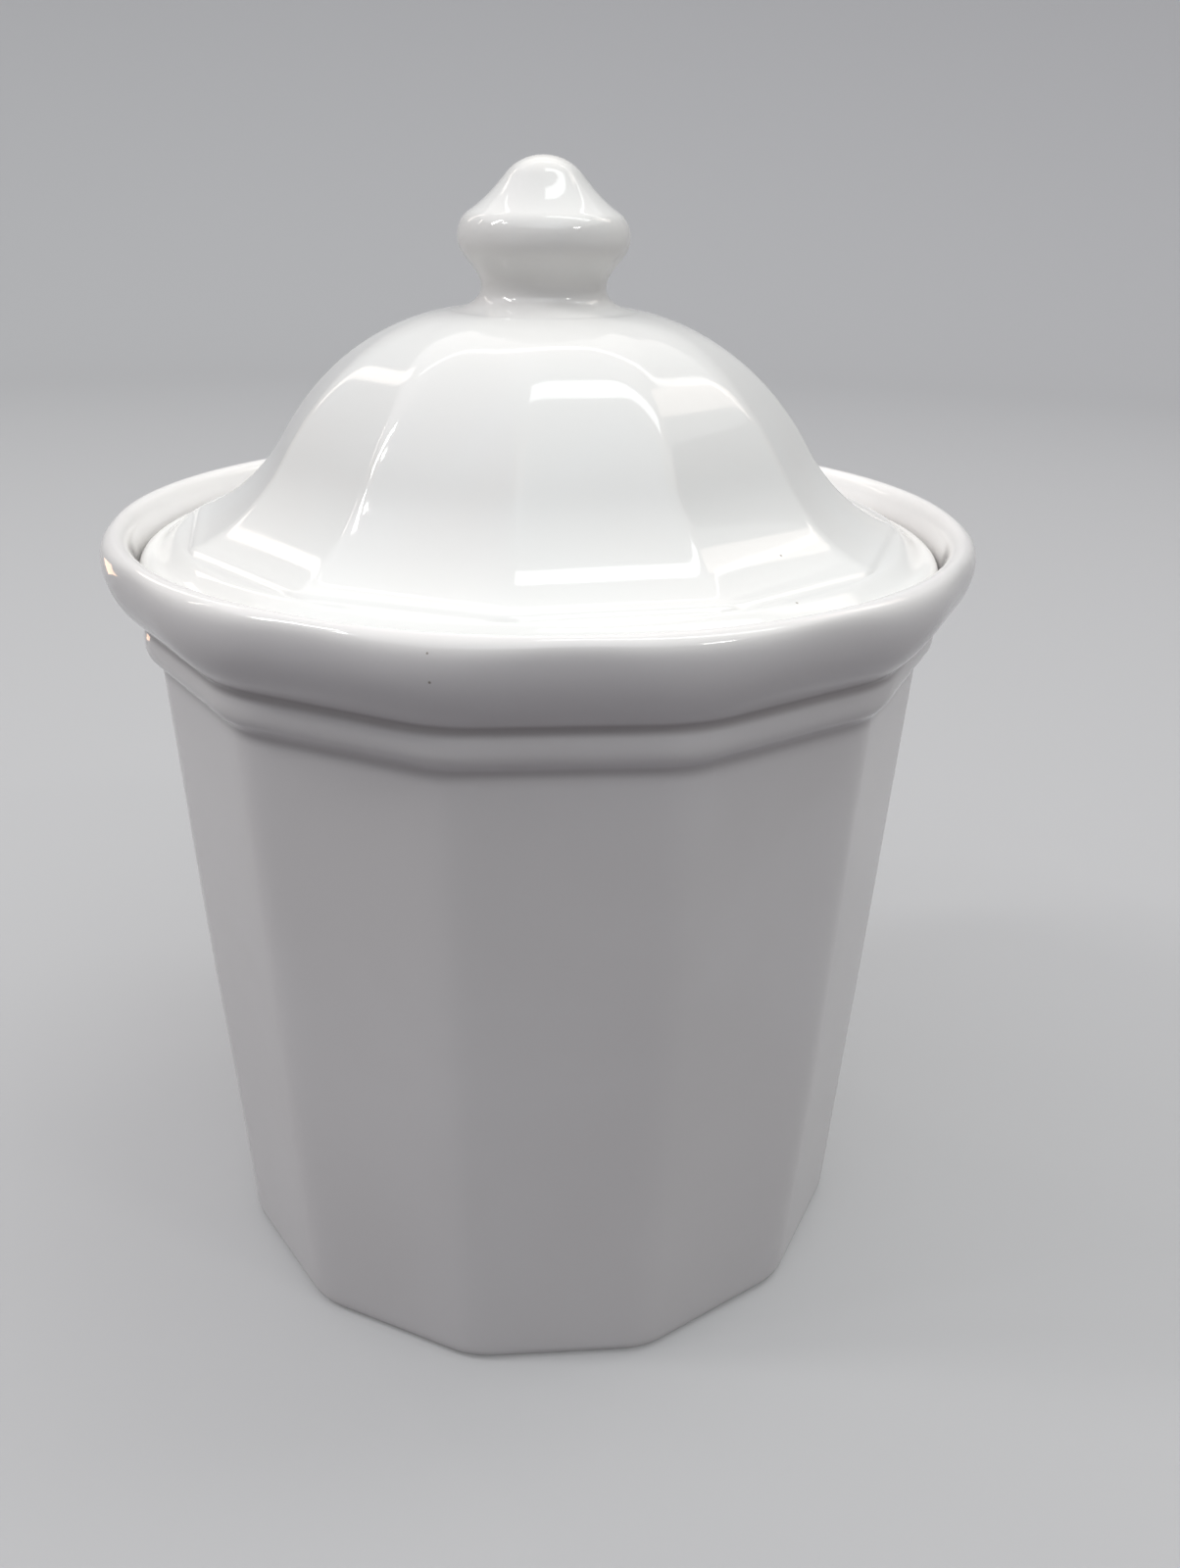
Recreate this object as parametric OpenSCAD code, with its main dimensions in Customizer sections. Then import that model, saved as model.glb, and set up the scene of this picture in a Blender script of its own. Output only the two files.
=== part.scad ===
// Twelve-sided stoneware kitchen canister with a domed lid.
// Millimetres, +Z up. The jar stands on Z = 0 with its axis on Z and a flat of its wall facing -Y.
// The wall and the dome are flat-sided in plan, the lip, the mouth and everything inside are round.

/* [Jar] */
// Number of flat sides round the wall and the dome
sides = 12; // [8:1:16]
// Width across two opposite flats at the foot
foot_flats = 140.4; // [120:0.2:150]
// Width across two opposite flats at the top of the wall
wall_top_flats = 157; // [150:0.5:160]
// Height of the flat wall, from the foot up to the bead
wall_h = 141; // [90:0.5:220]
// Thickness of the wall in the middle of a flat
wall_t = 5.5; // [4:0.5:8]
// Thickness of the floor at the foot ring
floor_t = 6.5; // [5:0.5:12]
// Rounding of the edge between the foot and the wall
foot_edge_r = 2.5; // [1:0.5:6]
// Width of the flat ring that the jar stands on
foot_ring_w = 9; // [6:0.5:16]
// Depth of the recess inside the foot ring
foot_recess = 2; // [0.5:0.5:3]
// Rounding inside, between the floor and the wall
floor_r = 12; // [4:1:25]
// How round the foot is in plan (0 sharp corners, 1 a circle)
foot_roundness = 0.25; // [0:0.01:0.6]
// How round the top of the wall is in plan (0 sharp corners, 1 a circle)
wall_roundness = 0.2; // [0:0.01:0.5]

/* [Bead and rim] */
// Height of the bead between the wall and the rim
bead_h = 8; // [6:0.5:12]
// Height of the bead's widest line above the wall
bead_middle = 4.5; // [3:0.5:5.5]
// How far the bead stands out from the top of the wall
bead_out = 3.1; // [1.5:0.1:4]
// How far the groove over the bead is set in from the bead
groove_in = 0.9; // [0.2:0.1:1.2]
// How round the bead is in plan (0 sharp corners, 1 a circle)
bead_roundness = 0.3; // [0:0.01:1]
// Outside diameter of the rim
rim_d = 180; // [176:1:190]
// Height of the rim, from the groove to the crest of the lip
rim_h = 18.1; // [16:0.1:26]
// Slope of the rim where it leaves the groove
rim_slope = 36; // [35:1:60]
// Height of the rolled top of the lip
lip_h = 3.2; // [2:0.1:5]
// Thickness of the rim at the mouth
lip_w = 6.5; // [5:0.5:8]
// How round the rim is in plan at its widest (0 sharp corners, 1 a circle)
lip_roundness = 0.7; // [0.3:0.01:1]
// Rounding of the mouth's inner edge
mouth_edge_r = 3; // [0.5:0.5:4]
// Depth of the lid's ledge under the crest of the lip
seat_depth = 9.3; // [7:0.1:11]

/* [Lid] */
// Turn of the lid on its round seat, as photographed
lid_turn = 7.1; // [-15:0.1:15]
// Play between the lid's flange and the mouth, all round
flange_play = 0.5; // [0.4:0.1:2]
// Thickness of the flange at its edge
flange_t = 4; // [3:0.1:6]
// Rounding of the flange's upper edge
flange_edge_r = 1.6; // [0.5:0.1:2]
// Rise of the flange from its edge to the foot of the dome
flange_rise = 3.4; // [1:0.1:4]
// Width across two opposite flats at the foot of the dome
dome_flats = 144; // [138:0.5:147]
// Upright part of the step at the foot of the dome
step_h = 0.2; // [0.1:0.1:3]
// Height of the rounding over that step
step_round_h = 1.3; // [1:0.1:4]
// Width of the rounding over that step
step_round_w = 2.6; // [1:0.1:5]
// Width across flats where the flare passes into the shoulder
waist_flats = 106.3; // [96:0.1:116]
// Height of the flare, from the step to the shoulder
flare_h = 15; // [9:0.5:20]
// Height of the shoulder, from the flare to the crown
shoulder_h = 26; // [18:0.5:40]
// Wall of the dome
dome_t = 5; // [4:0.5:6]
// How round the dome is in plan at its foot (0 sharp corners, 1 a circle)
dome_roundness = 0.1; // [0:0.01:0.5]
// Height of the collar that hangs into the mouth
collar_h = 12; // [10:0.5:20]
// Wall of the collar
collar_t = 5.5; // [5:0.5:8]
// Play between the collar and the throat of the jar, all round
collar_play = 1.2; // [0.8:0.1:2]

/* [Knob] */
// Diameter of the knob's foot, and of the flat on the crown that carries it
knob_foot_d = 37.5; // [34:0.5:44]
// Diameter of the knob's waist
knob_waist_d = 25; // [16:0.5:30]
// Largest diameter of the knob
knob_d = 34.2; // [31:0.2:44]
// Diameter of the knob's cone at its foot
knob_cone_d = 29.6; // [20:0.2:30.8]
// Diameter of the knob's cone where the rounded tip begins
knob_tip_d = 15; // [8:0.2:18]
// Height from the foot to the waist
knob_waist_h = 4.4; // [3:0.2:8]
// Height from the waist to the largest diameter
knob_belly_h = 8.8; // [6:0.2:14]
// Height from the largest diameter to the foot of the cone
knob_shoulder_h = 5; // [4:0.2:10]
// Height of the cone
knob_cone_h = 6.8; // [3:0.2:12]
// Height of the rounded tip
knob_tip_h = 3.4; // [2:0.2:8]

/* [Seal] */
// Height of the seal
seal_h = 6; // [4:0.5:7.5]
// Depth of the collar's groove for the seal
seal_groove = 2; // [1:0.1:2.5]
// Depth of the hollows between the seal's ribs
seal_rib = 0.7; // [0.3:0.1:1]
// Number of ribs round the seal
seal_ribs = 3; // [2:1:4]
// Running clearance round the seal
seal_clearance = 0.3; // [0.2:0.05:0.4]

/* [Hidden] */
$fn = 96;

// Straight stretches of a curve, and overshoot of a cut past the face that it opens
curve_steps = 8;
cut = 1;

half_side = 180 / sides;
// Places round one side, in degrees from the middle of its flat, closer together near the corner
side_places = [for (share = [-1, -0.8, -0.5, 0, 0.5, 0.8]) share * half_side];

foot_flat_r = foot_flats / 2;
wall_top_flat_r = wall_top_flats / 2;
draft = atan((wall_top_flat_r - foot_flat_r) / wall_h);
foot_arc_r = foot_flat_r - foot_edge_r * (1 - sin(draft)) / cos(draft);
foot_ring_r = foot_arc_r - foot_ring_w;
inside_foot_r = foot_flat_r - wall_t;
throat_r = wall_top_flat_r - wall_t;

groove_flat_r = wall_top_flat_r + bead_out - groove_in;
groove_z = wall_h + bead_h;
crest_z = groove_z + rim_h;
mouth_r = rim_d / 2 - lip_w;
// A narrow flat land on the crest of the lip, and another on the flange round the foot of the dome
land_w = 0.6;
crest_r = mouth_r + mouth_edge_r + land_w;
lip_flat_r = rim_d / 2 / corner_factor(lip_roundness);

seat_z = crest_z - seat_depth;
flange_r = mouth_r - flange_play;
flange_z = seat_z + flange_t;
// Small bevel under the flange and at the bottom of the collar
under_bevel = 0.8;
dome_foot_z = flange_z + flange_rise;
step_z = dome_foot_z + step_h + step_round_h;
step_flat_r = dome_flats / 2 - step_round_w;
waist_z = step_z + flare_h;
crown_z = waist_z + shoulder_h;
knob_foot_r = knob_foot_d / 2;
// Directions of the outlines, in degrees from straight out: where the bead leaves the wall and reaches
// the groove, where the flange dips inside its edge and reaches the dome, where the dome leaves its step,
// passes its waist and reaches its crown, and at the foot and the tip of the knob's cone
bead_start = 20;
bead_end = 150;
flange_dip = 190;
flange_end = 160;
step_slope = 156;
waist_slope = 120;
crown_slope = 172;
cone_foot_slope = 147;
cone_tip_slope = 129;

collar_r = throat_r - collar_play;
collar_in_r = collar_r - collar_t;
collar_z = seat_z - collar_h;
seal_groove_r = collar_r - seal_groove;
seal_groove_z = collar_z + (collar_h - seal_h) / 2;
seal_groove_h = seal_h + seal_clearance;
seal_in_r = seal_groove_r + seal_clearance;
seal_out_r = throat_r - seal_clearance;

// Corner radius of a rounded polygon over its flat radius
function corner_factor(roundness) = (1 - roundness) / cos(half_side) + roundness;

// Radius of a rounded polygon with the given flat radius, at an angle from the middle of a flat
function plan_radius(flat_r, roundness, angle) =
    let (round_r = roundness * flat_r)
    let (centre = (flat_r - round_r) / cos(half_side))
    let (aside = centre * sin(half_side - abs(angle)))
    tan(abs(angle)) <= (1 - roundness) * tan(half_side)
        ? flat_r / cos(angle)
        : centre * cos(half_side - abs(angle)) + sqrt(max(round_r ^ 2 - aside ^ 2, 0));

function direction(angle) = [cos(angle), sin(angle)];

// Points of a smooth curve that leaves p at one angle and reaches q at another, without p itself.
// The handles make it a circular arc where its ends allow one. A shift moves it to its left side.
function bend(p, p_angle, q, q_angle, shift = 0) =
    let (reach = norm(q - p) / (3 * cos((q_angle - p_angle) / 4) ^ 2))
    let (a = p + reach * direction(p_angle))
    let (b = q - reach * direction(q_angle))
    [for (i = [1 : curve_steps])
        let (t = i / curve_steps)
        let (s = 1 - t)
        let (along = s ^ 2 * (a - p) + 2 * s * t * (b - a) + t ^ 2 * (q - b))
        let (left = [-along.y, along.x] / norm(along))
        s ^ 3 * p + 3 * s ^ 2 * t * a + 3 * s * t ^ 2 * b + t ^ 3 * q + shift * left];

// Points of a circular arc
function arc(centre, r, from, to) =
    [for (i = [0 : curve_steps]) centre + r * direction(from + (to - from) * i / curve_steps)];

// An outline's points with a roundness in plan that changes evenly along it
function rounded(points, first, last) =
    [for (i = [0 : len(points) - 1])
        [points[i].x, points[i].y, first + (last - first) * i / max(len(points) - 1, 1)]];

// Points of one level of a flat-sided form, from its flat radius, height and roundness
function level(ring) =
    [for (side = [0 : sides - 1], place = side_places)
        let (r = plan_radius(ring[0], ring[2], place))
        let (angle = side * 360 / sides + place - 90)
        [r * cos(angle), r * sin(angle), ring[1]]];

// Solid through a list of levels, from the bottom one up
module flat_sided(rings) {
    count = sides * len(side_places);
    top = (len(rings) - 1) * count;
    skin = [for (k = [0 : len(rings) - 2], i = [0 : count - 1])
        let (j = (i + 1) % count)
        let (low = k * count)
        let (high = low + count)
        each [[low + i, high + j, low + j], [low + i, high + i, high + j]]];
    polyhedron(
        points = [for (ring = rings) each level(ring)],
        faces = concat([[for (i = [0 : count - 1]) i]], skin, [[for (i = [count - 1 : -1 : 0]) top + i]]),
        convexity = 6);
}

// Outside of the jar: foot edge, wall, bead, flared rim and rolled lip
function jar_rings() =
    let (wall_top = [wall_top_flat_r, wall_h])
    let (bead_line = [wall_top_flat_r + bead_out, wall_h + bead_middle])
    let (groove = [groove_flat_r, groove_z])
    let (lip_line = [lip_flat_r, crest_z - lip_h])
    let (bead = concat(bend(wall_top, bead_start, bead_line, 90), bend(bead_line, 90, groove, bead_end)))
    concat(
        rounded(arc([foot_arc_r, foot_edge_r], foot_edge_r, -90, -draft), foot_roundness, foot_roundness),
        rounded([wall_top], wall_roundness, wall_roundness),
        rounded(bead, wall_roundness, bead_roundness),
        rounded(bend(groove, rim_slope, lip_line, 90), bead_roundness, lip_roundness),
        rounded(bend(lip_line, 90, [crest_r, crest_z], 180), lip_roundness, 1));

// Space inside the jar: tapered room, straight throat, ledge for the lid and rounded mouth
module jar_space() {
    floor_arc = [inside_foot_r + (floor_t + floor_r) * tan(draft) - floor_r, floor_t + floor_r];
    mouth_arc = [mouth_r + mouth_edge_r, crest_z - mouth_edge_r];
    rotate_extrude()
        polygon(concat(
            [[0, floor_t]],
            arc(floor_arc, floor_r, -90, 0),
            [[throat_r, wall_h], [throat_r, seat_z], [mouth_r, seat_z]],
            arc(mouth_arc, mouth_edge_r, 180, 90),
            [[mouth_arc.x, crest_z + cut], [0, crest_z + cut]]));
}

module canister_body() {
    color("white")
        difference() {
            flat_sided(jar_rings());
            jar_space();
            translate([0, 0, -cut])
                cylinder(h = foot_recess + cut, r = foot_ring_r);
        }
}

// Outline of the dome from the step up to the crown. A shift moves it inwards, for the hollow
function dome_outline(shift) =
    let (step = [step_flat_r, step_z])
    let (waist = [waist_flats / 2, waist_z])
    let (crown = [knob_foot_r, crown_z])
    let (start = step + shift * direction(step_slope + 90))
    concat([start], bend(step, step_slope, waist, waist_slope, shift),
        bend(waist, waist_slope, crown, crown_slope, shift));

// Outside of the dome: sunk foot, step, flare and shoulder that fades into the round crown
function dome_rings() =
    let (foot = [dome_flats / 2, dome_foot_z + step_h])
    let (step = bend(foot, 90, [step_flat_r, step_z], step_slope))
    let (outline = dome_outline(0))
    concat(
        rounded([[foot.x, seat_z + under_bevel], foot], dome_roundness, dome_roundness),
        rounded([for (i = [0 : len(step) - 2]) step[i]], dome_roundness, dome_roundness),
        [for (p = outline)
            let (rise = max(0, (p.y - waist_z) / shoulder_h))
            [p.x, p.y, dome_roundness + (1 - dome_roundness) * rise ^ 3]]);

// Flange and collar, with the groove for the seal
module lid_ring() {
    dome_corner_r = dome_flats / 2 * corner_factor(dome_roundness);
    land = [dome_corner_r + land_w, dome_foot_z];
    edge = [flange_r - flange_edge_r, flange_z - flange_edge_r];
    rotate_extrude()
        polygon(concat(
            [[collar_in_r - cut, collar_z], [collar_r - under_bevel, collar_z], [collar_r, collar_z + under_bevel]],
            [[collar_r, seal_groove_z], [seal_groove_r, seal_groove_z]],
            [[seal_groove_r, seal_groove_z + seal_groove_h], [collar_r, seal_groove_z + seal_groove_h]],
            [[collar_r, seat_z], [flange_r - under_bevel, seat_z], [flange_r, seat_z + under_bevel]],
            arc(edge, flange_edge_r, 0, 90),
            bend([edge.x, flange_z], flange_dip, land, flange_end),
            [[collar_in_r - cut, dome_foot_z]]));
}

// Hollow under the dome, open at the bottom of the collar
module lid_space() {
    inside = dome_outline(dome_t);
    rotate_extrude()
        polygon(concat(
            [[0, collar_z - cut], [collar_in_r, collar_z - cut], [collar_in_r, seat_z + under_bevel]],
            inside,
            [[0, inside[len(inside) - 1].y]]));
}

module lid() {
    color("ivory")
        rotate([0, 0, lid_turn])
            difference() {
                union() {
                    flat_sided(dome_rings());
                    lid_ring();
                }
                lid_space();
            }
}

module lid_knob() {
    foot = [knob_foot_r, crown_z];
    waist = [knob_waist_d / 2, foot.y + knob_waist_h];
    belly = [knob_d / 2, waist.y + knob_belly_h];
    cone_foot = [knob_cone_d / 2, belly.y + knob_shoulder_h];
    cone_tip = [knob_tip_d / 2, cone_foot.y + knob_cone_h];
    top = [0, cone_tip.y + knob_tip_h];
    color("ivory")
        rotate_extrude()
            polygon(concat(
                [[0, crown_z], foot],
                bend(foot, crown_slope, waist, 90),
                bend(waist, 90, belly, 90),
                bend(belly, 90, cone_foot, cone_foot_slope),
                bend(cone_foot, cone_foot_slope, cone_tip, cone_tip_slope),
                bend(cone_tip, cone_tip_slope, top, 180)));
}

module lid_seal() {
    rib_h = seal_h / seal_ribs;
    hollow_r = seal_out_r - seal_rib;
    color("gainsboro")
        rotate_extrude()
            translate([0, seal_groove_z])
                polygon(concat(
                    [[seal_in_r, seal_h], [seal_in_r, 0]],
                    [for (i = [0 : seal_ribs - 1])
                        each [[hollow_r, i * rib_h], [seal_out_r, (i + 0.5) * rib_h]]],
                    [[hollow_r, seal_h]]));
}

canister_body();
lid();
lid_knob();
lid_seal();
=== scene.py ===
import math

import bpy
import numpy as np
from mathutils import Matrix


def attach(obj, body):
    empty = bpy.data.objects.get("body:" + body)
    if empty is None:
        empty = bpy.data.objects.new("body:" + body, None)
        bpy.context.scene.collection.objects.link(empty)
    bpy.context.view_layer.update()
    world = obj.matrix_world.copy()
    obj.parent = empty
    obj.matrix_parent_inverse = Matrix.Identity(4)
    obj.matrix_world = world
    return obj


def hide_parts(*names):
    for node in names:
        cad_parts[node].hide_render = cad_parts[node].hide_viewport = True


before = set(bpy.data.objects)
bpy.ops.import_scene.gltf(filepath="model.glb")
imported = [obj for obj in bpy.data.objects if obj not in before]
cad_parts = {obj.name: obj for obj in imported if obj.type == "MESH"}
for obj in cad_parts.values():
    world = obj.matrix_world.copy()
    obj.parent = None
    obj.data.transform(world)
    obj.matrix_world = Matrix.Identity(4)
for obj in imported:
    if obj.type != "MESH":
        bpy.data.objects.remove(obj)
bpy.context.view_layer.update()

# Jar
# Slip-cast white stoneware in one piece: foot ring, twelve flat sides that lean out, a bead, a flared rim
# with a rolled lip, and inside it a ledge for the lid. A clear gloss glaze covers all but the foot ring.
# The glaze runs off the edges and pools in the grooves, which softens every corner.
millimetre = 0.001
side_count = 12
half_side = math.pi / side_count
curve_steps = 24
fine_step = 0.1


def heading(angle):
    """Unit step at an angle in degrees from straight out: its cosine and its sine."""
    return np.array([math.cos(math.radians(angle)), math.sin(math.radians(angle))])


def bend(start, start_angle, end, end_angle, shift=0.0):
    """Cubic curve that leaves start at one angle and reaches end at another. Both handles are as long as
    the chord over three times the squared cosine of a quarter turn. A shift moves it to its left side."""
    start = np.array(start, float)
    end = np.array(end, float)
    quarter = math.radians(end_angle - start_angle) / 4
    reach = np.linalg.norm(end - start) / (3 * math.cos(quarter) ** 2)
    near = start + reach * heading(start_angle)
    far = end - reach * heading(end_angle)
    t = np.linspace(0, 1, curve_steps + 1)[:, None]
    s = 1 - t
    along = s**2 * (near - start) + 2 * s * t * (far - near) + t**2 * (end - far)
    left = np.stack([-along[:, 1], along[:, 0]], axis=1) / np.linalg.norm(along, axis=1, keepdims=True)
    return s**3 * start + 3 * s**2 * t * near + 3 * s * t**2 * far + t**3 * end + shift * left


def arc(centre, radius, first, last):
    """Circular arc: the centre plus the radius times the heading, at even angles from first to last."""
    angles = np.radians(np.linspace(first, last, curve_steps + 1))
    return np.array(centre) + radius * np.stack([np.cos(angles), np.sin(angles)], axis=1)


def in_plan(points, first=1.0, last=None):
    """Outline points with their roundness in plan as a third column: 0 is a twelve-sided plan with sharp
    corners and 1 is a circle. It runs evenly from first to last, or stays at first without a last."""
    points = np.array(points, float).reshape(-1, 2)
    last = first if last is None else last
    return np.column_stack([points, np.linspace(first, last, len(points))])


def bell_curve(width):
    """Weights of a bell curve at every fine step out to four widths on both sides, adding up to one."""
    reach = int(4 * width / fine_step)
    weights = np.exp(-0.5 * (np.arange(-reach, reach + 1) * fine_step / width) ** 2)
    return weights / weights.sum()


def glazed(outline, softness, row_gap=2.6, row_turn=7.0, pool_and_shade_width=1.6):
    """Outline as the glaze leaves it. Points every tenth of a millimetre are averaged with their
    neighbours under a bell curve as wide as the softness, ends held, then thinned to rows that are a gap
    or a turn in degrees apart. A fourth column gets the turn per millimetre, positive on outer edges,
    averaged under a bell curve as wide as the pooled glaze and the painted shade in grooves spread."""
    steps = np.linalg.norm(np.diff(outline[:, :2], axis=0), axis=1)
    apart = steps > 1e-6
    outline = outline[np.append(True, apart)]
    length = np.append(0, np.cumsum(steps[apart]))
    count = int(length[-1] / fine_step)
    even = np.linspace(0, length[-1], count + 1)
    fine = np.stack([np.interp(even, length, column) for column in outline.T], axis=1)
    bell = bell_curve(softness)
    reach = len(bell) // 2
    longer = np.pad(fine, ((reach, reach), (0, 0)), mode="reflect", reflect_type="odd")
    soft = np.stack([np.convolve(column, bell, "valid") for column in longer.T], axis=1)
    slope = np.unwrap(np.arctan2(np.gradient(soft[:, 1]), np.gradient(soft[:, 0])))
    turn = np.gradient(slope)
    pool_and_shade = bell_curve(pool_and_shade_width)
    spread = np.convolve(np.pad(turn, len(pool_and_shade) // 2, mode="edge"), pool_and_shade, "valid")
    soft = np.column_stack([soft, spread / fine_step])
    place = np.cumsum(fine_step / row_gap + np.abs(turn) / math.radians(row_turn))
    rows = np.interp(np.linspace(place[0], place[-1], int(place[-1]) + 1), place, np.arange(count + 1))
    return np.stack([np.interp(rows, np.arange(count + 1), column) for column in soft.T], axis=1)


def past_flat(roundness, angle):
    """Whether an angle from the middle of a flat is past the flat's end: its tangent is more than the
    tangent of half a side times what the roundness leaves of it."""
    return np.tan(np.abs(angle)) > (1 - roundness) * math.tan(half_side)


def plan_radius(flat_radius, roundness, angle):
    """Radius of a twelve-sided plan with rounded corners, by the angle from the middle of a flat: the
    flat's distance over the cosine, and past the flat's end an arc about a point on the corner's line."""
    to_corner = half_side - np.abs(angle)
    corner_radius = roundness * flat_radius
    centre = (flat_radius - corner_radius) / math.cos(half_side)
    aside = centre * np.sin(to_corner)
    on_arc = centre * np.cos(to_corner) + np.sqrt(np.maximum(corner_radius**2 - aside**2, 0))
    on_flat = flat_radius / np.cos(angle)
    return np.where(past_flat(roundness, angle), on_arc, on_flat)


columns_per_half = 12
crowding = 2.4
waver_height = 0.11
full_waver_radius = 40.0
groove_turn = 0.03


def turned_grid(outline, turn):
    """Points and edge values of an outline carried round the axis, a row for each of its points. The
    columns crowd towards the plan's corners by a power of the way left. A row's radius is its plan's plus a
    waver, three slow waves to the turn and five lower ones that drift with the height, as casting and
    firing leave it. The edge value adds the outline's turn per millimetre to the plan's, which fades out
    in grooves."""
    share = np.linspace(-1, 1, 2 * columns_per_half + 1)[:-1]
    place = half_side * np.sign(share) * (1 - (1 - np.abs(share)) ** crowding)
    middle = np.arange(side_count) * 2 * half_side - math.pi / 2 + math.radians(turn)
    angle = (middle[:, None] + place).ravel()
    place = np.tile(place, side_count)
    flat_radius, height, roundness, profile_turn = (column[:, None] for column in outline.T)
    radius = plan_radius(flat_radius, roundness, place)
    waver = np.sin(3 * angle + height / 23 + 0.6) + 0.7 * np.sin(5 * angle - height / 17 + 2.1)
    radius = radius + waver_height * waver * np.clip(radius / full_waver_radius, 0, 1)
    grid = np.stack([radius * np.cos(angle), radius * np.sin(angle), height + 0 * radius], axis=-1)
    corner_turn = 1 / np.maximum(roundness * flat_radius, 1)
    plan_turn = np.where(past_flat(roundness, place), corner_turn, 0)
    edge = profile_turn + plan_turn * np.clip(1 + profile_turn / groove_turn, 0, 1)
    return grid, edge


def add_surface(name, points, faces):
    """Smooth object in the scene from points in millimetres and, for each face, the numbers of its points."""
    mesh = bpy.data.meshes.new(name)
    mesh.from_pydata((points * millimetre).tolist(), [], faces)
    mesh.polygons.foreach_set("use_smooth", np.ones(len(mesh.polygons), bool))
    surface = bpy.data.objects.new(name, mesh)
    bpy.context.scene.collection.objects.link(surface)
    return surface


sharp_angle = 60.0


def turned_piece(name, outline, turn=0.0, ring=False):
    """Closed surface of an outline carried round the axis: four-sided faces between neighbouring rows and
    columns. A ring closes on itself. Any other outline starts and ends on the axis, and closes there to a
    point with three-sided faces. The edge values become an attribute of the points."""
    grid, edge = turned_grid(outline, turn)
    rows, columns = edge.shape
    index = np.arange(rows * columns).reshape(rows, columns)
    beside = np.roll(index, -1, axis=1)
    if ring:
        above = np.roll(index, -1, axis=0)
        above_beside = np.roll(beside, -1, axis=0)
        faces = np.stack([index, beside, above_beside, above], axis=-1).reshape(-1, 4).tolist()
        points = grid.reshape(-1, 3)
        edge = edge.ravel()
    else:
        inner = slice(1, rows - 1)
        index = index[inner] - columns
        beside = beside[inner] - columns
        quads = np.stack([index[:-1], beside[:-1], beside[1:], index[1:]], axis=-1).reshape(-1, 4)
        first = np.full(columns, index.size)
        last = first + 1
        start_cap = np.stack([first, beside[0], index[0]], axis=-1)
        end_cap = np.stack([index[-1], beside[-1], last], axis=-1)
        faces = quads.tolist() + start_cap.tolist() + end_cap.tolist()
        ends = np.array([[0, 0, outline[0, 1]], [0, 0, outline[-1, 1]]])
        points = np.concatenate([grid[inner].reshape(-1, 3), ends])
        edge = np.append(edge[inner].ravel(), [0, 0])
    piece = add_surface(name, points, faces)
    mesh = piece.data
    mesh.attributes.new("edge", "FLOAT", "POINT").data.foreach_set("value", edge.astype(np.float32))
    mesh.set_sharp_from_angle(angle=math.radians(sharp_angle))
    mesh.update()
    return piece


# Sizes are in millimetres, flats are measured from the axis, and slopes are in degrees from straight out.
foot_flat = 70.2
foot_roundness = 0.25
foot_edge = 2.5
foot_ring_width = 9.0
foot_recess = 2.0
floor_thickness = 6.5
floor_corner = 12.0
wall_top_flat = 78.5
wall_height = 141.0
wall_roundness = 0.2
wall_thickness = 5.5
bead_height = 8.0
bead_middle = 4.5
bead_out = 3.1
bead_roundness = 0.3
bead_start_slope = 20.0
bead_end_slope = 150.0
groove_in = 0.9
rim_radius = 90.0
rim_height = 18.1
rim_slope = 36.0
lip_height = 3.2
lip_width = 6.5
lip_roundness = 0.7
lip_roll = 7.0
mouth_edge = 3.0
crest_land = 0.6
seat_depth = 9.3

draft = math.atan((wall_top_flat - foot_flat) / wall_height)
foot_arc = foot_flat - foot_edge * (1 - math.sin(draft)) / math.cos(draft)
foot_ring = foot_arc - foot_ring_width
throat = wall_top_flat - wall_thickness
groove_height = wall_height + bead_height
crest_height = groove_height + rim_height
mouth = rim_radius - lip_width
lip_flat = rim_radius / ((1 - lip_roundness) / math.cos(half_side) + lip_roundness)
seat_height = crest_height - seat_depth
floor_corner_height = floor_thickness + floor_corner
floor_corner_radius = foot_flat - wall_thickness + floor_corner_height * math.tan(draft) - floor_corner
wall_top = [wall_top_flat, wall_height]
bead_line = [wall_top_flat + bead_out, wall_height + bead_middle]
groove = [wall_top_flat + bead_out - groove_in, groove_height]
lip_line = [lip_flat, crest_height - lip_height]
crest = [mouth + mouth_edge + crest_land, crest_height]

jar_under = glazed(np.concatenate([
    in_plan([[0, foot_recess], [foot_ring, foot_recess], [foot_ring, 0]]),
    in_plan([foot_arc, 0], foot_roundness),
]), softness=0.4)
jar_skin = glazed(np.concatenate([
    in_plan(arc([foot_arc, foot_edge], foot_edge, -90, -math.degrees(draft)), foot_roundness),
    in_plan(wall_top, wall_roundness),
    in_plan(bend(wall_top, bead_start_slope, bead_line, 90), wall_roundness, bead_roundness),
    in_plan(bend(bead_line, 90, groove, bead_end_slope), bead_roundness),
    in_plan(bend(groove, rim_slope, lip_line, 90), bead_roundness, lip_roundness),
    in_plan(bend(lip_line, 90, crest, 180), lip_roundness, 1.0),
]), softness=1.0, row_gap=3.0, row_turn=4.5)
jar_inside = glazed(np.concatenate([
    in_plan(bend(crest, 180, [mouth, crest_height - lip_roll], 270)),
    in_plan([[mouth, seat_height], [throat, seat_height], [throat, wall_height]]),
    in_plan(arc([floor_corner_radius, floor_corner_height], floor_corner, 0, -90)),
    in_plan([0, floor_thickness]),
]), softness=0.5, row_gap=4.0, row_turn=8.0)
# Inside, the edge value is kept at nought or more, so neither pooled glaze nor painted shade darkens the
# hollows there.
jar_inside[:, 3] = np.maximum(jar_inside[:, 3], 0)
jar = turned_piece("jar_glazed", np.concatenate([jar_under, jar_skin[1:], jar_inside[1:]]))


def feed(tree, socket, value):
    """Gives an input socket a link from another node's socket, or else a plain value."""
    if isinstance(value, bpy.types.NodeSocket):
        tree.links.new(value, socket)
    else:
        socket.default_value = value


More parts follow.
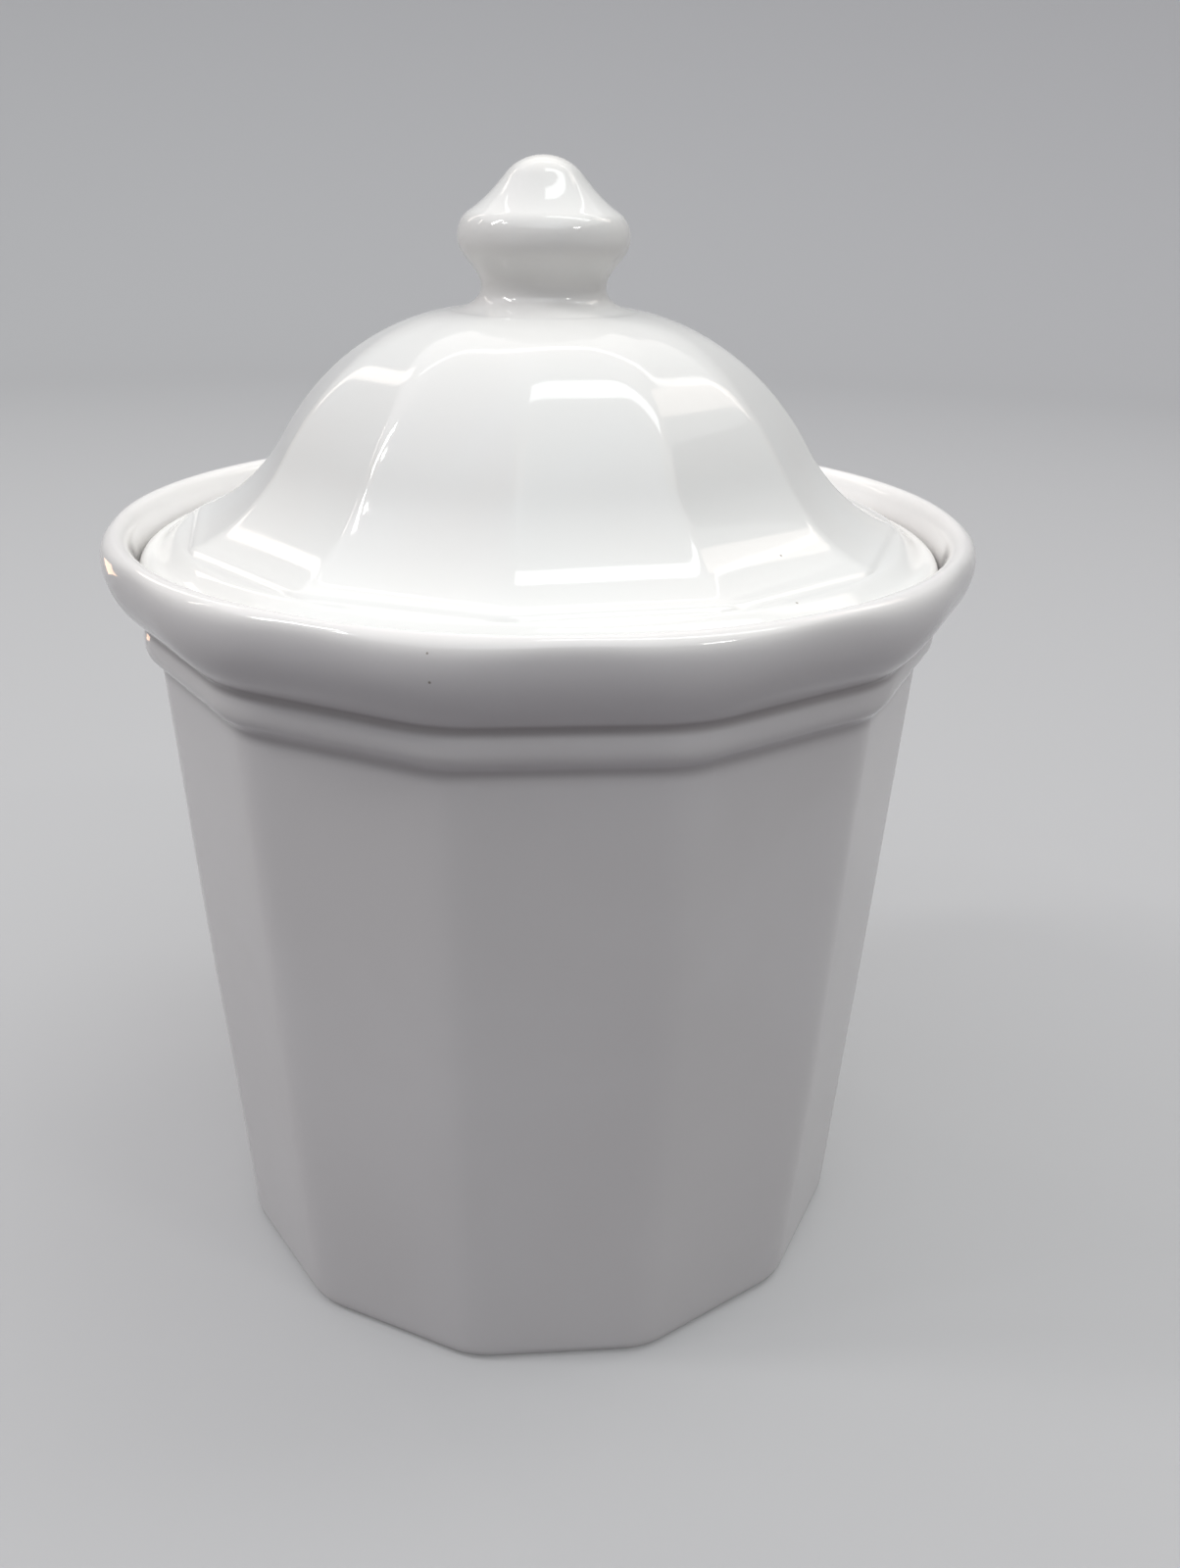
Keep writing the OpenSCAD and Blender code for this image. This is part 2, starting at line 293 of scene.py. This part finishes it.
def node_in(tree, kind, settings=None, **sockets):
    """Adds a node of a kind to a tree, sets its own properties, and feeds each input socket named, with
    underscores for the spaces in its name."""
    node = tree.nodes.new(kind)
    for name, value in (settings or {}).items():
        setattr(node, name, value)
    for name, value in sockets.items():
        feed(tree, node.inputs[name.replace("_", " ")], value)
    return node


def blend_colour(tree, share, first, second):
    """Colour that passes from the first to the second as the share goes from 0 to 1."""
    node = node_in(tree, "ShaderNodeMix", {"data_type": "RGBA"})
    feed(tree, node.inputs[0], share)
    feed(tree, node.inputs[6], first)
    feed(tree, node.inputs[7], second)
    return node.outputs[2]


def worked_out(tree, operation, first, second, third=0.0, clamp=False):
    """One sum of two or three numbers or sockets, by the name of the operation."""
    node = node_in(tree, "ShaderNodeMath", {"operation": operation, "use_clamp": clamp})
    for socket, value in zip(node.inputs, (first, second, third)):
        feed(tree, socket, value)
    return node.outputs[0]


def noise(tree, place, scale, detail, spread=0.0):
    """Cloudy value between 0 and 1 at a place, with so many clouds to a metre."""
    node = node_in(tree, "ShaderNodeTexNoise", Vector=place, Scale=scale, Detail=detail, Distortion=spread)
    return node.outputs["Fac"]


def ramp(tree, value, low, high):
    """Value brought to the range from 0 at the low end to 1 at the high end, with soft ends."""
    node = node_in(tree, "ShaderNodeMapRange", {"interpolation_type": "SMOOTHSTEP"},
                   Value=value, From_Min=low, From_Max=high)
    return node.outputs["Result"]


# The glaze's waves and pinholes are in metres, and cells in the mosaic are counted to a metre.
slow_wave_height = 0.00016
wave_height = 0.000015
peel_height = 0.000002
pinhole_depth = 0.00003
pinhole_share = 0.06
least_roughness = 0.045
smudge_roughness = 0.04
peel_roughness = 0.03
pooled_polish = 0.03
mosaic_cells = 150.0
fleck_colour = (0.16, 0.13, 0.11, 1)


def fired_glaze():
    """Node group for a clear gloss glaze over white clay. Slow clouds shift the colour, outer edges show
    the clay where the glaze is thin, grooves and creases take a darker colour that is partly pooled glaze and
    partly painted shade, a few cells of a fine mosaic carry a dark fleck at their middle and more of them a
    pinhole, and waves of three sizes make the surface ripple."""
    group = bpy.data.node_groups.new("fired_glaze", "ShaderNodeTree")
    for name in ("Glaze", "Cloud", "Thin", "Pooled"):
        group.interface.new_socket(name=name, in_out="INPUT", socket_type="NodeSocketColor")
    for name in ("Edge", "Flecks"):
        group.interface.new_socket(name=name, in_out="INPUT", socket_type="NodeSocketFloat")
    group.interface.new_socket(name="Colour", in_out="OUTPUT", socket_type="NodeSocketColor")
    for name in ("Roughness", "Height"):
        group.interface.new_socket(name=name, in_out="OUTPUT", socket_type="NodeSocketFloat")
    given = group.nodes.new("NodeGroupInput").outputs
    made = group.nodes.new("NodeGroupOutput").inputs
    place = group.nodes.new("ShaderNodeTexCoord").outputs["Object"]

    cloud = ramp(group, noise(group, place, scale=17.0, detail=3.0, spread=0.4), low=0.36, high=0.66)
    thin = ramp(group, given["Edge"], low=0.06, high=0.45)
    # Grooves and creases, where the edge value is below nought, blend towards the darker colour: partly
    # pooled glaze, partly painted shade.
    pool_and_shade = ramp(group, worked_out(group, "MULTIPLY", given["Edge"], -1.0), low=0.03, high=0.26)
    mosaic = node_in(group, "ShaderNodeTexVoronoi", Vector=place, Scale=mosaic_cells).outputs
    chance = node_in(group, "ShaderNodeSeparateColor", Color=mosaic["Color"]).outputs
    fleck_shape = ramp(group, mosaic["Distance"], low=0.055, high=0.02)
    fleck_chosen = worked_out(group, "LESS_THAN", chance["Red"], given["Flecks"])
    fleck = worked_out(group, "MULTIPLY", fleck_shape, fleck_chosen)
    colour = blend_colour(group, cloud, given["Glaze"], given["Cloud"])
    colour = blend_colour(group, thin, colour, given["Thin"])
    colour = blend_colour(group, pool_and_shade, colour, given["Pooled"])
    colour = blend_colour(group, fleck, colour, fleck_colour)
    feed(group, made["Colour"], colour)

    smudge = ramp(group, noise(group, place, scale=31.0, detail=5.0, spread=0.8), low=0.45, high=0.75)
    peel = noise(group, place, scale=420.0, detail=2.0)
    roughness = worked_out(group, "MULTIPLY_ADD", smudge, smudge_roughness, least_roughness)
    roughness = worked_out(group, "MULTIPLY_ADD", peel, peel_roughness, roughness)
    roughness = worked_out(group, "MULTIPLY_ADD", pool_and_shade, -pooled_polish, roughness)
    feed(group, made["Roughness"], roughness)

    slow_wave = noise(group, place, scale=26.0, detail=1.0)
    wave = noise(group, place, scale=75.0, detail=2.0)
    pinhole_shape = ramp(group, mosaic["Distance"], low=0.06, high=0.0)
    pinhole_chosen = worked_out(group, "GREATER_THAN", chance["Green"], 1 - pinhole_share)
    pinhole = worked_out(group, "MULTIPLY", pinhole_shape, pinhole_chosen)
    height = worked_out(group, "MULTIPLY", slow_wave, slow_wave_height)
    height = worked_out(group, "MULTIPLY_ADD", wave, wave_height, height)
    height = worked_out(group, "MULTIPLY_ADD", peel, peel_height, height)
    height = worked_out(group, "MULTIPLY_ADD", pinhole, -pinhole_depth, height)
    feed(group, made["Height"], height)
    return group


glaze = fired_glaze()
thin_colour = (0.865, 0.85, 0.82, 1)
speck_colour = (0.38, 0.34, 0.30, 1)
speck_core = 0.3
glaze_ior = 1.52


def glazed_finish(name, glaze_colour, cloud_colour, pooled_shade_colour, flecks, specks):
    """Material of one glazed piece: the shared glaze over its own colours, with the thin glaze on edges a
    little warmer than the rest and the grooves darker, partly as pooled glaze and partly as painted shade.
    A brown speck fades in within its radius round each place given for one."""
    material = bpy.data.materials.new(name)
    material.use_nodes = True
    tree = material.node_tree
    place = tree.nodes.new("ShaderNodeTexCoord").outputs["Object"]
    edge = node_in(tree, "ShaderNodeAttribute", {"attribute_name": "edge"}).outputs["Fac"]
    finish = node_in(tree, "ShaderNodeGroup", {"node_tree": glaze},
                     Glaze=(*glaze_colour, 1), Cloud=(*cloud_colour, 1), Thin=thin_colour,
                     Pooled=(*pooled_shade_colour, 1), Edge=edge, Flecks=flecks).outputs
    colour = finish["Colour"]
    for *middle, radius in np.array(specks) * millimetre:
        away = node_in(tree, "ShaderNodeVectorMath", {"operation": "DISTANCE"})
        feed(tree, away.inputs[0], place)
        feed(tree, away.inputs[1], middle)
        spot = ramp(tree, away.outputs["Value"], low=radius, high=speck_core * radius)
        colour = blend_colour(tree, spot, colour, speck_colour)
    ripples = node_in(tree, "ShaderNodeBump", Height=finish["Height"], Strength=1.0, Distance=1.0)
    shader = tree.nodes["Principled BSDF"].inputs
    feed(tree, shader["Base Color"], colour)
    feed(tree, shader["Roughness"], finish["Roughness"])
    feed(tree, shader["Normal"], ripples.outputs["Normal"])
    feed(tree, shader["IOR"], glaze_ior)
    return material


# Each speck is given by its place and its radius in millimetres.
rim_specks = [(-22.6, -87.0, 159.7, 0.36), (-22.8, -86.9, 164.5, 0.28)]
jar_finish = glazed_finish(
    "jar_glaze_fired",
    glaze_colour=(0.86, 0.845, 0.84),
    cloud_colour=(0.838, 0.82, 0.812),
    # The jar's grooves and creases are painted dark: mostly painted shade, a little pooled glaze.
    pooled_shade_colour=(0.50, 0.475, 0.47),
    flecks=0.006,
    specks=rim_specks,
)

# The foot ring is wiped clean of glaze before firing, so its bare clay is matt and warmer.
glaze_starts = 0.9 * millimetre
clay_ends = 0.4 * millimetre
clay_light = (0.70, 0.64, 0.55, 1)
clay_dark = (0.56, 0.50, 0.42, 1)
clay_roughness = 0.8
clay = jar_finish.node_tree
clay_shader = clay.nodes["Principled BSDF"].inputs
clay_place = clay.nodes.new("ShaderNodeTexCoord").outputs["Object"]
clay_height = node_in(clay, "ShaderNodeSeparateXYZ", Vector=clay_place).outputs["Z"]
wiping = node_in(clay, "ShaderNodeMapRange", Value=clay_height, From_Min=glaze_starts, From_Max=clay_ends)
wiped = wiping.outputs["Result"]
clay_grain = noise(clay, clay_place, scale=700.0, detail=4.0)
clay_colour = blend_colour(clay, clay_grain, clay_light, clay_dark)
over_clay = clay_shader["Base Color"].links[0].from_socket
glaze_roughness = clay_shader["Roughness"].links[0].from_socket
feed(clay, clay_shader["Base Color"], blend_colour(clay, wiped, over_clay, clay_colour))
wiped_roughness = worked_out(clay, "MULTIPLY", wiped, clay_roughness)
feed(clay, clay_shader["Roughness"], worked_out(clay, "MAXIMUM", glaze_roughness, wiped_roughness))
jar.data.materials.append(jar_finish)
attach(jar, "jar")
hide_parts("canister_body")

# Seal
# Soft milky silicone ring in the groove round the lid's collar, moulded with three ribs that wipe the
# jar's throat. The closed lid hides it.
seal_ribs = 3
rib_depth = 0.7
seal_height = 6.0
seal_clearance = 0.3
seal_groove_depth = 2.0
collar_play = 1.2
collar_height = 12.0

collar = throat - collar_play
collar_low = seat_height - collar_height
seal_low = collar_low + (collar_height - seal_height) / 2
seal_middle = seal_low + seal_height / 2
seal_top = seal_low + seal_height
seal_inside = collar - seal_groove_depth + seal_clearance
seal_outside = throat - seal_clearance
rib_steps = np.arange(2 * seal_ribs + 1)
rib_heights = seal_low + seal_height * np.linspace(0, 1, len(rib_steps))
rib_radii = seal_outside - rib_depth * (rib_steps % 2 == 0)
seal_corners = np.concatenate([
    [[seal_inside, seal_middle], [seal_inside, seal_low]],
    np.stack([rib_radii, rib_heights], axis=1),
    [[seal_inside, seal_top], [seal_inside, seal_middle]],
])
seal_outline = glazed(in_plan(seal_corners), softness=0.12, row_gap=0.6, row_turn=14.0)
seal = turned_piece("seal_ring", seal_outline[:-1], ring=True)

silicone_light = (0.74, 0.74, 0.72, 1)
silicone_dark = (0.68, 0.68, 0.66, 1)
silicone_roughness = 0.38
bloom_roughness = 0.2
grain_height = 0.00002
silicone_ior = 1.41
seal_finish = bpy.data.materials.new("milky_silicone")
seal_finish.use_nodes = True
silicone = seal_finish.node_tree
silicone_shader = silicone.nodes["Principled BSDF"].inputs
silicone_place = silicone.nodes.new("ShaderNodeTexCoord").outputs["Object"]
bloom = noise(silicone, silicone_place, scale=60.0, detail=4.0)
grain = noise(silicone, silicone_place, scale=900.0, detail=2.0)
bloomed_roughness = worked_out(silicone, "MULTIPLY_ADD", bloom, bloom_roughness, silicone_roughness)
moulding = node_in(silicone, "ShaderNodeBump", Height=grain, Strength=0.3, Distance=grain_height)
feed(silicone, silicone_shader["Base Color"], blend_colour(silicone, bloom, silicone_light, silicone_dark))
feed(silicone, silicone_shader["Roughness"], bloomed_roughness)
feed(silicone, silicone_shader["Normal"], moulding.outputs["Normal"])
feed(silicone, silicone_shader["IOR"], silicone_ior)
seal.data.materials.append(seal_finish)
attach(seal, "seal")
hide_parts("lid_seal")

# Lid
# Slip-cast twelve-sided dome of the same stoneware, hollow inside, on a round flange that rests on the
# jar's ledge. A round collar with a groove for the seal hangs below. It lies turned a little on its seat.
lid_turn = 7.1
flange_play = 0.5
flange_thickness = 4.0
flange_edge = 2.2
flange_rise = 3.4
flange_land = 0.6
flange_start_slope = 190.0
flange_end_slope = 160.0
under_bevel = 0.8
collar_thickness = 5.5
collar_bevel = 0.8
dome_flat = 72.0
dome_roundness = 0.1
dome_thickness = 5.0
step_upright = 0.2
step_round_height = 1.3
step_round_width = 2.6
step_slope = 156.0
waist_flat = 53.15
waist_slope = 120.0
flare_height = 15.0
shoulder_height = 26.0
crown_slope = 172.0
crown_run = 0.8
knob_foot = 18.75

flange = mouth - flange_play
flange_height = seat_height + flange_thickness
flange_arc = [flange - flange_edge, flange_height - flange_edge]
dome_foot = flange_height + flange_rise
dome_corner = dome_flat * ((1 - dome_roundness) / math.cos(half_side) + dome_roundness)
step_height = dome_foot + step_upright + step_round_height
waist_height = step_height + flare_height
crown_height = waist_height + shoulder_height
collar_inside = collar - collar_thickness
groove_top = seal_top + seal_clearance
groove_radius = collar - seal_groove_depth
flange_top = [flange_arc[0], flange_height]
flange_end = [dome_corner + flange_land, dome_foot]
step_foot = [dome_flat, dome_foot + step_upright]
step_top = [dome_flat - step_round_width, step_height]
waist = [waist_flat, waist_height]
crown = [knob_foot, crown_height]
crown_end = np.array(crown) + crown_run * heading(crown_slope)


def dome_line(shift):
    """Dome's outline from its step to the crown, as two bends that meet at the waist, moved to the left
    by the shift. Its roundness in plan grows with the cube of the rise over the waist."""
    points = np.concatenate([
        bend(step_top, step_slope, waist, waist_slope, shift),
        bend(waist, waist_slope, crown, crown_slope, shift)[1:],
    ])
    rise = np.clip((points[:, 1] - waist_height) / shoulder_height, 0, 1)
    return np.column_stack([points, dome_roundness + (1 - dome_roundness) * rise**3])


hollow = dome_line(dome_thickness)[::-1, :2]
lid_inside = glazed(np.concatenate([
    in_plan([0, hollow[0, 1]]),
    in_plan(hollow),
    in_plan([[collar_inside, seat_height + under_bevel], [collar_inside, collar_low]]),
    in_plan([[collar - collar_bevel, collar_low], [collar, collar_low + collar_bevel]]),
    in_plan([[collar, seal_low], [groove_radius, seal_low]]),
    in_plan([[groove_radius, groove_top], [collar, groove_top], [collar, seat_height]]),
    in_plan([[flange - under_bevel, seat_height], [flange, seat_height + under_bevel]]),
    in_plan([flange, flange_arc[1]]),
]), softness=0.4)
lid_skin = glazed(np.concatenate([
    in_plan(arc(flange_arc, flange_edge, 0, 90)),
    in_plan(bend(flange_top, flange_start_slope, flange_end, flange_end_slope)),
    in_plan([[dome_flat, dome_foot], step_foot], dome_roundness),
    in_plan(bend(step_foot, 90, step_top, step_slope), dome_roundness),
    dome_line(0.0),
    in_plan([crown_end, [0, crown_end[1]]]),
]), softness=0.8, row_gap=2.0, row_turn=4.0)
lid = turned_piece("lid_glazed", np.concatenate([lid_inside, lid_skin[1:]]), turn=lid_turn)

lid_specks = [(40.6, -49.3, 170.0, 0.42), (40.8, -62.9, 165.0, 0.36)]
lid_finish = glazed_finish(
    "lid_glaze_fired",
    glaze_colour=(0.855, 0.86, 0.845),
    cloud_colour=(0.85, 0.845, 0.825),
    pooled_shade_colour=(0.83, 0.82, 0.80),
    flecks=0.004,
    specks=lid_specks,
)
lid.data.materials.append(lid_finish)
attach(lid, "lid")
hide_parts("lid")

# Knob
# Bell-shaped finial pressed on its own and stuck to the crown with slip before firing, so that its foot
# runs into the dome without a line: a waist, a fat belly, a cone and a blunt round tip.
knob_waist = 12.5
knob_waist_height = 4.4
knob_belly = 17.1
knob_belly_height = 8.8
knob_cone = 14.8
knob_shoulder_height = 5.0
cone_foot_slope = 147.0
knob_tip = 7.5
knob_cone_height = 6.8
cone_tip_slope = 129.0
knob_tip_height = 3.4

waist_point = [knob_waist, crown_height + knob_waist_height]
belly_point = [knob_belly, waist_point[1] + knob_belly_height]
cone_point = [knob_cone, belly_point[1] + knob_shoulder_height]
tip_point = [knob_tip, cone_point[1] + knob_cone_height]
knob_line = np.concatenate([
    bend(crown, crown_slope, waist_point, 90),
    bend(waist_point, 90, belly_point, 90),
    bend(belly_point, 90, cone_point, cone_foot_slope),
    bend(cone_point, cone_foot_slope, tip_point, cone_tip_slope),
    bend(tip_point, cone_tip_slope, [0, tip_point[1] + knob_tip_height], 180),
])
knob_skin = glazed(in_plan(knob_line), softness=0.3, row_gap=0.8, row_turn=4.0)
knob_base = np.array([[0, crown_height, 1, 0]])
knob = turned_piece("knob_glazed", np.concatenate([knob_base, knob_skin]), turn=lid_turn)
knob.data.materials.append(lid_finish)
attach(knob, "lid")
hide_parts("lid_knob")

# Floor
# Pale seamless sweep: flat where the canister stands, then curved up into a wall all round. What the
# camera and the gloss see of it is pale and takes the canister's shadow, and what it throws back on the
# canister is little.
sweep_flat = 1500.0
sweep_curve = 700.0
sweep_height = 1900.0
sweep_columns = 96
sweep_line = np.concatenate([
    [[0, 0]],
    arc([sweep_flat, sweep_curve], sweep_curve, -90, 0),
    [[sweep_flat + sweep_curve, sweep_height]],
])
sweep_radius = sweep_line[:, :1]
sweep_angle = np.linspace(0, 2 * math.pi, sweep_columns + 1)[:-1]
sweep_grid = np.stack(np.broadcast_arrays(
    sweep_radius * np.cos(sweep_angle),
    sweep_radius * np.sin(sweep_angle),
    sweep_line[:, 1:],
), axis=-1)
sweep_index = np.arange(len(sweep_line) * sweep_columns).reshape(-1, sweep_columns)
sweep_beside = np.roll(sweep_index, -1, axis=1)
sweep_quads = np.stack([sweep_index[:-1], sweep_index[1:], sweep_beside[1:], sweep_beside[:-1]], axis=-1)
sweep = add_surface("floor_sweep", sweep_grid.reshape(-1, 3), sweep_quads.reshape(-1, 4).tolist())

thrown_back_colour = (0.2, 0.193, 0.207, 1)
seen_shade_colour = (0.4, 0.4, 0.405, 1)
seen_glow_colour = (0.9, 0.905, 0.92, 1)
seen_glow_strength = 0.15
floor_finish = bpy.data.materials.new("pale_paper")
floor_finish.use_nodes = True
paper = floor_finish.node_tree
paper.nodes.remove(paper.nodes["Principled BSDF"])
ray = paper.nodes.new("ShaderNodeLightPath").outputs
looked_at = worked_out(paper, "ADD", ray["Is Camera Ray"], ray["Is Glossy Ray"])
looked_at = worked_out(paper, "ADD", looked_at, ray["Is Transmission Ray"], clamp=True)
thrown_back = node_in(paper, "ShaderNodeBsdfDiffuse", Color=thrown_back_colour)
seen_shade = node_in(paper, "ShaderNodeBsdfDiffuse", Color=seen_shade_colour)
seen_glow = node_in(paper, "ShaderNodeEmission", Color=seen_glow_colour, Strength=seen_glow_strength)
seen = paper.nodes.new("ShaderNodeAddShader")
paper.links.new(seen_shade.outputs[0], seen.inputs[0])
paper.links.new(seen_glow.outputs[0], seen.inputs[1])
chosen_paper = paper.nodes.new("ShaderNodeMixShader")
paper.links.new(looked_at, chosen_paper.inputs[0])
paper.links.new(thrown_back.outputs[0], chosen_paper.inputs[1])
paper.links.new(seen.outputs[0], chosen_paper.inputs[2])
paper.links.new(chosen_paper.outputs[0], paper.nodes["Material Output"].inputs["Surface"])
sweep.data.materials.append(floor_finish)

# Light
# Soft light from above: a sky that is brightest high in front, then on the left, on the right and behind,
# a strip lamp overhead to the right, and small lamps and strips left, right and behind that put bands and
# glints on the glaze. The camera sees none of the lamps.
lid_middle = np.array([0.0, 0.0, 0.19])
lobe_power = 8.0


def towards(azimuth, elevation):
    """Unit step to an azimuth, counted from the front round to the right, and an elevation, in degrees:
    the level part is the elevation's cosine and the upright part its sine."""
    azimuth = math.radians(azimuth)
    elevation = math.radians(elevation)
    level = math.cos(elevation)
    return np.array([math.sin(azimuth) * level, -math.cos(azimuth) * level, math.sin(elevation)])


def soft_lamp(name, azimuth, elevation, distance, width, depth, radiance, colour, along=(1, 0, 0)):
    """Rectangular lamp that faces the lid from an azimuth and an elevation, its width lying along a given
    line. Sizes are in metres. Its power is its brightness times its area times pi."""
    back = towards(azimuth, elevation)
    side = np.array(along, float) - np.dot(along, back) * back
    side = side / np.linalg.norm(side)
    stand = np.eye(4)
    stand[:3, 0] = side
    stand[:3, 1] = np.cross(back, side)
    stand[:3, 2] = back
    stand[:3, 3] = lid_middle + distance * back
    data = bpy.data.lights.new(name, "AREA")
    data.shape = "RECTANGLE"
    data.size = width
    data.size_y = depth
    data.energy = radiance * width * depth * math.pi
    data.color = colour
    lamp = bpy.data.objects.new(name, data)
    bpy.context.scene.collection.objects.link(lamp)
    lamp.matrix_world = Matrix(stand.tolist())
    lamp.visible_camera = False
    return lamp


soft_lamp("overhead_strip", azimuth=91, elevation=70.4, distance=1.08, width=0.75, depth=0.18,
          radiance=3.8, colour=(0.96, 1.0, 0.99))
soft_lamp("left_lamp", azimuth=-85, elevation=45, distance=1.2, width=0.11, depth=0.38,
          radiance=22.0, colour=(1.0, 0.99, 0.97), along=(0, 1, 0))
soft_lamp("left_small_lamp", azimuth=-70, elevation=47, distance=1.2, width=0.08, depth=0.08,
          radiance=24.0, colour=(1.0, 0.99, 0.97), along=(0, 1, 0))
soft_lamp("left_thin_strip", azimuth=-112, elevation=33, distance=1.4, width=0.035, depth=0.3,
          radiance=8.0, colour=(1.0, 0.93, 0.87), along=(1, -2, 0))
soft_lamp("right_lamp", azimuth=46, elevation=38, distance=1.2, width=0.2, depth=0.08,
          radiance=17.0, colour=(1.0, 0.98, 0.96), along=(1, 1, 0))
soft_lamp("back_strip", azimuth=157, elevation=59, distance=1.2, width=1.9, depth=0.05,
          radiance=2.5, colour=(1.0, 0.98, 0.96))
soft_lamp("left_back_strip", azimuth=-138, elevation=32, distance=1.5, width=0.6, depth=0.13,
          radiance=2.2, colour=(1.0, 0.9, 0.82), along=(1, -1, 0))
soft_lamp("right_back_strip", azimuth=117, elevation=41, distance=1.5, width=0.5, depth=0.28,
          radiance=1.7, colour=(1.0, 0.88, 0.79), along=(1, 1, 0))

# A low lamp lights the jar's gloss alone and puts the warm glint on the left of the lip.
left_glint = soft_lamp("left_glint", azimuth=-132, elevation=-10.7, distance=0.65, width=0.11, depth=0.1,
                       radiance=3.0, colour=(1.0, 0.58, 0.36), along=(1, -1, 0))
left_glint.visible_diffuse = False
glint_taker = bpy.data.collections.new("glint_taker")
glint_taker.objects.link(jar)
left_glint.light_linking.receiver_collection = glint_taker

sky = bpy.data.worlds.new("soft_sky")
bpy.context.scene.world = sky
sky.use_nodes = True
sky_tree = sky.node_tree
sky_place = sky_tree.nodes.new("ShaderNodeTexCoord").outputs["Generated"]


def brighter_sky(light, azimuth, elevation, colour):
    """Adds a soft lobe to the sky's light: the colour times a power of the cosine of the angle from the
    lobe's middle, with the cosine never below nought."""
    nearness = node_in(sky_tree, "ShaderNodeVectorMath", {"operation": "DOT_PRODUCT"})
    feed(sky_tree, nearness.inputs[0], sky_place)
    feed(sky_tree, nearness.inputs[1], towards(azimuth, elevation).tolist())
    cosine = worked_out(sky_tree, "MAXIMUM", nearness.outputs["Value"], 0.0)
    lobe = worked_out(sky_tree, "POWER", cosine, lobe_power)
    tinted = node_in(sky_tree, "ShaderNodeVectorMath", {"operation": "SCALE"}, Scale=lobe)
    feed(sky_tree, tinted.inputs[0], colour)
    summed = node_in(sky_tree, "ShaderNodeVectorMath", {"operation": "ADD"})
    feed(sky_tree, summed.inputs[0], light)
    feed(sky_tree, summed.inputs[1], tinted.outputs[0])
    return summed.outputs[0]


plain_sky = (0.37, 0.37, 0.38)
sky_light = brighter_sky(plain_sky, azimuth=0, elevation=47, colour=(1.6, 1.68, 1.73))
sky_light = brighter_sky(sky_light, azimuth=0, elevation=12, colour=(0.56, 0.48, 0.56))
sky_light = brighter_sky(sky_light, azimuth=80, elevation=62, colour=(0.76, 0.79, 0.76))
sky_light = brighter_sky(sky_light, azimuth=-90, elevation=45, colour=(0.98, 0.94, 1.0))
sky_light = brighter_sky(sky_light, azimuth=90, elevation=45, colour=(0.5, 0.49, 0.47))
sky_light = brighter_sky(sky_light, azimuth=180, elevation=45, colour=(0.72, 0.68, 0.65))
sky_light = brighter_sky(sky_light, azimuth=150, elevation=12, colour=(0.42, 0.42, 0.44))
sky_light = brighter_sky(sky_light, azimuth=-150, elevation=12, colour=(0.42, 0.42, 0.44))
feed(sky_tree, sky_tree.nodes["Background"].inputs["Color"], sky_light)

# Camera
# A hand-held camera about 0.3 m in front of the lid, nearly as high as the tip of the knob, that looks
# down with a slight roll. Angles are in degrees and the place is in metres.
camera_place = (-0.01681, -0.29324, 0.23314)
camera_yaw = 5.456
camera_pitch = 23.768
camera_roll = 1.109
focal_pixels = 1418.19
image_height = 1600
sensor = 36.0
nearest_seen = 0.01
yaw, pitch, roll = np.radians([camera_yaw, camera_pitch, camera_roll])
forward = np.array([math.sin(yaw) * math.cos(pitch), math.cos(yaw) * math.cos(pitch), -math.sin(pitch)])
level_right = np.array([math.cos(yaw), -math.sin(yaw), 0])
level_up = np.cross(level_right, forward)
camera_stand = np.eye(4)
camera_stand[:3, 0] = math.cos(roll) * level_right + math.sin(roll) * level_up
camera_stand[:3, 1] = math.cos(roll) * level_up - math.sin(roll) * level_right
camera_stand[:3, 2] = -forward
camera_stand[:3, 3] = camera_place
camera_data = bpy.data.cameras.new("photo_camera")
camera_data.sensor_width = sensor
camera_data.lens = focal_pixels * sensor / image_height
camera_data.clip_start = nearest_seen
camera = bpy.data.objects.new("photo_camera", camera_data)
bpy.context.scene.collection.objects.link(camera)
camera.matrix_world = Matrix(camera_stand.tolist())
bpy.context.scene.camera = camera
bpy.context.scene.view_settings.view_transform = "Standard"
